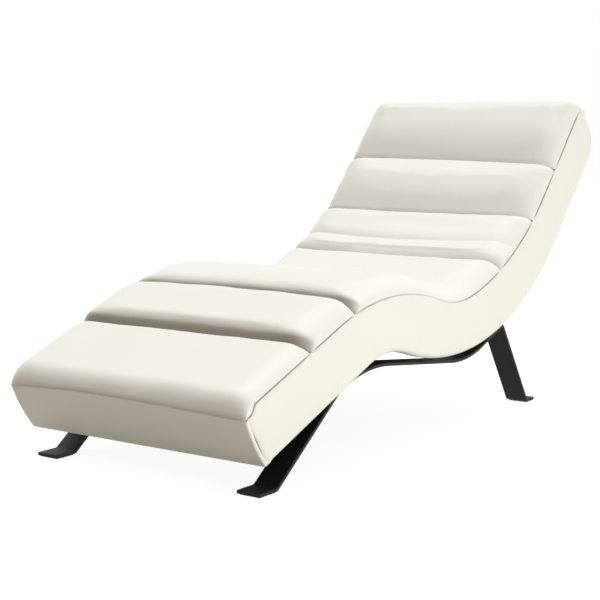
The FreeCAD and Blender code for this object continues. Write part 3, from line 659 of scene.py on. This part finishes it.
def sideRelief(seamRuns, above, below):
    # how far the cover is drawn in by its lower seam, by the pads' creases and at the upper seam
    shape, groove = sideShape, sideShape["edgeSeam"]
    inward = groove["depth"] * np.exp(-((above - groove["lift"]) / groove["width"]) ** 2)
    inward = inward + shape["topTuck"] * np.clip(1 - below / shape["tuckReach"], 0, 1) ** 2
    for order, crease in enumerate(creaseRuns):
        pulls = [shape["dimple"]] + [shape["tick"]] * (order == shape["tick"]["crease"])
        for pull in pulls:
            away = (seamRuns - crease) / pull["length"]
            inward = inward + pull["depth"] * np.exp(-away ** 2 - below / pull["fall"])
    return inward


def buildSide(name, side):
    shape, runOut = sideShape, sideShape["runOut"]
    front, wide = shape["frontStart"], body["halfWidth"]
    spread = np.linspace(0, 1, shape["columns"]) ** shape["columnCrowding"]
    lowRuns = front + (underEnd - front) * spread
    seamRuns = np.interp(lowRuns, (front, backEnd, underEnd),
                         (front - body["footLipReach"], seamEnd - shape["headRun"], seamEnd))
    fromFront = lowRuns - front
    frontTuck = shape["frontTuck"] * np.clip(1 - fromFront / shape["frontReach"], 0, 1) ** 2
    bulge = shape["bulge"] * np.clip(fromFront / runOut["reach"], 0, 1)
    # the roll runs out towards the front panel and the head pad
    toEnd = np.minimum(fromFront / runOut["reach"] + runOut["front"],
                       (underEnd - lowRuns) / runOut["reach"] + runOut["head"])
    radius = body["edgeRadius"] * np.clip(toEnd, 0, 1)
    points = []
    # flap below the body, then the roll round its lower edge
    for share in (0.0, 0.5):
        y, z = along(under, lowRuns)
        points.append(np.stack([body["flapEdge"] + (wide - radius - body["flapEdge"]) * share, y, z], -1))
    for turn in np.radians(np.linspace(-90, 0, shape["rollRows"])):
        y, z = along(under, lowRuns, radius + radius * math.sin(turn))
        points.append(np.stack([wide - radius + radius * math.cos(turn) - frontTuck, y, z], -1))
    # the flat side, up to the seam
    lowY, lowZ = along(under, lowRuns, radius)
    topLift = np.interp(seamRuns, (0.0, shape["lipReach"]), (-body["footLipDrop"], -shape["seamDrop"]))
    topLift = np.where(seamRuns > seamEnd - shape["headEdge"], -body["headLipDrop"], topLift)
    topY, topZ = along(seam, seamRuns, topLift)
    height = np.hypot(topY - lowY, topZ - lowZ)
    for share in 1 - (1 - np.linspace(0, 1, shape["rows"] + 1)[1:]) ** shape["rowCrowding"]:
        x = wide + bulge * np.sin(math.pi * share) ** shape["bulgePower"] - frontTuck
        x = x - sideRelief(seamRuns, share * height + radius, height - share * height)
        points.append(np.stack([x, lowY + (topY - lowY) * share, lowZ + (topZ - lowZ) * share], -1))
    points = np.array(points)
    points[..., 0] *= side
    piece = makePiece(name, points, gridFaces(*points.shape[:2], flip=side > 0))
    # painted shade along the top seam of the cover
    shade = np.zeros(points.shape[:2])
    shade[-1] = padShape["seamShade"]
    markPoints(piece, "creaseShade", shade)
    return piece


for hand, side in (("left", 1), ("right", -1)):
    piece = buildSide("sideCover." + hand, side)
    finishPiece(piece, leather, ["side_cover_" + hand], sideShape["skin"])
print("side covers made")


# front panel, hung from the foot pad's lip
frontShape = {
    "halfWidth": 0.3485,
    "columns": 90,
    "rows": 18,
    "bulge": 0.005,
    "waves": {"depth": 0.0009, "scale": 9.0, "seed": 2.0},
    "corner": 0.005,
    "cornerRows": 6,
    "wrap": 0.006,
    "wrapMiddle": 0.7,
    "tuck": 0.003,
    "flap": {"from": 0.013, "to": 0.002, "rows": 4, "width": 0.985, "spread": 0.05},
    "drop": 0.0012,
    "clear": 0.0003,
    "skin": 0.003,
}


def buildFront():
    shape, flap, waves = frontShape, frontShape["flap"], frontShape["waves"]
    leg = math.radians(body["headings"]["leg"])
    # distances across the panel, and back along the sides round both corners
    corner, wide = shape["corner"], shape["halfWidth"]
    turns = np.radians(np.linspace(0, 90, shape["cornerRows"]))[1:]
    wrapX = np.append(wide - corner + corner * np.sin(turns), [wide, wide - shape["tuck"]])
    wrapBack = np.append(corner * (1 - np.cos(turns)),
                         [corner + shape["wrap"] * shape["wrapMiddle"], corner + shape["wrap"]])
    middle = np.linspace(corner - wide, wide - corner, shape["columns"])
    across = np.concatenate([-wrapX[::-1], middle, wrapX])
    back = np.concatenate([wrapBack[::-1], np.zeros(len(middle)), wrapBack])
    wave = waves["depth"] * ripple(across, waves["scale"], waves["seed"]) * (back == 0)
    reach = np.full(across.shape, -body["footLipReach"])
    topY, topZ = along(seam, reach, lipArch(across) - body["footLipDrop"] - shape["clear"])
    footY, footZ = along(under, 0.0, -shape["drop"])
    points = []
    for inward in np.linspace(flap["from"], flap["to"], flap["rows"]):
        y, z = along(under, np.maximum(inward, back) + flap["spread"] * back, -shape["drop"])
        points.append(np.stack([across * flap["width"], y, z], -1))
    for share in np.linspace(0, 1, shape["rows"]):
        swell = (shape["bulge"] + wave) * math.sin(math.pi * share)
        y = footY + (topY - footY) * share - swell * math.cos(leg) + back * math.cos(leg)
        z = footZ + (topZ - footZ) * share - swell * math.sin(leg) + back * math.sin(leg)
        points.append(np.stack([across, y, z], -1))
    points = np.array(points)
    return makePiece("frontPanel", points, gridFaces(*points.shape[:2]))


finishPiece(buildFront(), leather, ["foot_end_cover"], frontShape["skin"])
print("front panel made")


# covers below and behind the body
sheetShape = {"halfWidth": 0.3237, "columns": 60, "crowding": 0.5, "tuckReach": 0.006, "gap": 0.0003,
              "endPower": 0.5, "sidePower": 6}
backShape = {"step": 0.012, "tuck": 0.0016, "swell": 0.004, "skin": 0.003}
dustShape = {"step": 0.016, "sag": 0.004}


def lowerSheet(name, begin, finish, step, tuck, push):
    # a sheet along the underside, pushed outwards between its edges
    wide = sheetShape["halfWidth"]
    runs = np.linspace(begin, finish, int((finish - begin) / step) + 2)
    even = np.linspace(-1, 1, sheetShape["columns"])
    across = wide * (even + sheetShape["crowding"] * np.sin(math.pi * even) / math.pi)
    share = np.clip((runs - begin) / (finish - begin), 0, 1)
    lift = -push * np.outer(np.sin(math.pi * share) ** sheetShape["endPower"],
                            1 - (across / wide) ** sheetShape["sidePower"])
    inset = wide - np.abs(across)
    lift = lift + tuck * np.clip(1 - inset / sheetShape["tuckReach"], 0, 1)[None, :] ** 2
    y, z = along(under, np.broadcast_to(runs[:, None], lift.shape), lift)
    points = np.stack([np.broadcast_to(across, y.shape), y, z], -1)
    return makePiece(name, points, gridFaces(*points.shape[:2], flip=True))


backPanel = lowerSheet("backPanel", coverJoint + sheetShape["gap"], backEnd - sheetShape["gap"],
                       backShape["step"], backShape["tuck"], backShape["swell"])
finishPiece(backPanel, leather, ["back_cover"], backShape["skin"])
headPanel = lowerSheet("headPanel", backEnd, underEnd, backShape["step"], backShape["tuck"], 0.0)
finishPiece(headPanel, leather, ["head_end_cover"], backShape["skin"])
dustPanel = lowerSheet("dustPanel", sheetShape["gap"], coverJoint, dustShape["step"], 0.0,
                       -dustShape["sag"])
finishPiece(dustPanel, finishes["dust_cloth"], ["dust_cover"], levels=0)
print("lower covers made")


# bars, foam and straps keep their built shape, with eased edges
easedEdges = {
    "runner_left": {"name": "runner.left", "slot": "black_steel", "edge": 0.0012},
    "runner_right": {"name": "runner.right", "slot": "black_steel", "edge": 0.0012},
    "foam_core": {"name": "foamCore", "slot": "foam", "edge": 0.004, "fill": 0.9},
    "side_foam_left": {"name": "sideFoam.left", "slot": "foam", "edge": 0.003, "fill": 0.8},
    "side_foam_right": {"name": "sideFoam.right", "slot": "foam", "edge": 0.003, "fill": 0.8},
    "webbing_straps": {"name": "webbingStraps", "slot": "webbing", "edge": 0.0006},
}


edgeEase = {"weld": 0.00002, "segments": 2, "angle": 40.0}


def easedCopy(node, look):
    mesh = nodes[node].data.copy()
    piece = bpy.data.objects.new(look["name"], mesh)
    scene.collection.objects.link(piece)
    weld = piece.modifiers.new("weld", "WELD")
    weld.merge_threshold = edgeEase["weld"]
    ease = piece.modifiers.new("ease", "BEVEL")
    ease.width = look["edge"]
    ease.segments = edgeEase["segments"]
    ease.limit_method = "ANGLE"
    ease.angle_limit = math.radians(edgeEase["angle"])
    finishPiece(piece, finishes[look["slot"]], [node], levels=0)


for node, look in easedEdges.items():
    easedCopy(node, look)
print("bars, foam and straps eased")


# camera, found from the sewn creases and the foot plates
cameraView = {
    "place": (2.0760, frontY - 2.3100, 0.7932),
    "turn": (82.7644, 0.0, 35.3654),
    "lens": 84.0,
    "sensor": 36.0,
}


def makeCamera(view):
    data = bpy.data.cameras.new("photoCamera")
    data.lens = view["lens"]
    data.sensor_width = view["sensor"]
    camera = bpy.data.objects.new("photoCamera", data)
    camera.location = view["place"]
    camera.rotation_euler = [math.radians(angle) for angle in view["turn"]]
    scene.collection.objects.link(camera)
    scene.camera = camera


# soft studio light: a wide lamp from the right, one from above, and a pale room
studio = {
    "right": {"place": (4.2, -0.35, 0.27), "aim": (0.35, 0.0, 0.35), "size": (2.4, 0.45), "power": 102.0},
    "above": {"from": (-0.30, 0.15, 0.94), "away": 4.0, "spread": 44.0, "power": 2.4},
    "room": 0.30,
    "roomColor": (1.0, 0.95, 0.81),
    "floorSize": 30.0,
    "floorColor": (0.45, 0.425, 0.36),
    "floorRoughness": 0.9,
    "floorGlow": (0.91, 1.0),
    "glowReach": (1.1, 2.6),
}


def seenRays(tree):
    # one for what the camera sees itself or in metal and glass, none for the light on the object
    rays = tree.nodes.new("ShaderNodeLightPath")
    seen = rays.outputs["Is Camera Ray"]
    for label in ("Is Glossy Ray", "Is Transmission Ray"):
        either = tree.nodes.new("ShaderNodeMath")
        either.operation = "MAXIMUM"
        tree.links.new(seen, either.inputs[0])
        tree.links.new(rays.outputs[label], either.inputs[1])
        seen = either.outputs["Value"]
    return seen


def makeLights(look):
    panel = bpy.data.lights.new("rightPanel", "AREA")
    panel.shape = "RECTANGLE"
    panel.size, panel.size_y = look["right"]["size"]
    panel.energy = look["right"]["power"]
    sky = bpy.data.lights.new("softSky", "SUN")
    sky.angle = math.radians(look["above"]["spread"])
    sky.energy = look["above"]["power"]
    above, right = Vector(look["above"]["from"]), Vector(look["right"]["place"])
    toObject = Vector(look["right"]["aim"]) - right
    for data, place, aim in ((panel, right, toObject), (sky, above * look["above"]["away"], -above)):
        holder = bpy.data.objects.new(data.name, data)
        holder.location = place
        holder.rotation_euler = aim.to_track_quat("-Z", "Y").to_euler()
        scene.collection.objects.link(holder)
    world = bpy.data.worlds.new("paleRoom")
    world.use_nodes = True
    tree = world.node_tree
    tone = tree.nodes.new("ShaderNodeMix")
    tone.data_type = "RGBA"
    tone.inputs["A"].default_value = (*(channel * look["room"] for channel in look["roomColor"]), 1.0)
    tone.inputs["B"].default_value = (1.0, 1.0, 1.0, 1.0)
    tree.links.new(seenRays(tree), tone.inputs["Factor"])
    tree.links.new(tone.outputs["Result"], tree.nodes["Background"].inputs["Color"])
    scene.world = world


def makeFloor(look):
    half = look["floorSize"] / 2
    corners = [(-half, -half, 0), (half, -half, 0), (half, half, 0), (-half, half, 0)]
    floor = makePiece("studioFloor", corners, [(0, 1, 2, 3)])
    material, tree, shader = newMaterial("paleFloor", look["floorColor"], look["floorRoughness"])
    shader.inputs["Specular IOR Level"].default_value = 0.0
    shader.inputs["Emission Color"].default_value = (1.0, 1.0, 1.0, 1.0)
    glow = tree.nodes.new("ShaderNodeMath")
    glow.operation = "MULTIPLY"
    tree.links.new(seenRays(tree), glow.inputs[0])
    tree.links.new(glow.outputs["Value"], shader.inputs["Emission Strength"])
    # the shadow stays near the object, and further out the floor goes to white
    place = tree.nodes.new("ShaderNodeTexCoord")
    away = tree.nodes.new("ShaderNodeVectorMath")
    away.operation = "LENGTH"
    fade = tree.nodes.new("ShaderNodeMapRange")
    fade.interpolation_type = "SMOOTHSTEP"
    limits = look["glowReach"] + look["floorGlow"]
    for label, value in zip(("From Min", "From Max", "To Min", "To Max"), limits):
        fade.inputs[label].default_value = value
    tree.links.new(place.outputs["Object"], away.inputs[0])
    tree.links.new(away.outputs["Value"], fade.inputs["Value"])
    tree.links.new(fade.outputs["Result"], glow.inputs[1])
    floor.data.materials.append(material)


makeCamera(cameraView)
makeLights(studio)
makeFloor(studio)
scene.view_settings.view_transform = "Standard"
print("camera, lights and floor set")
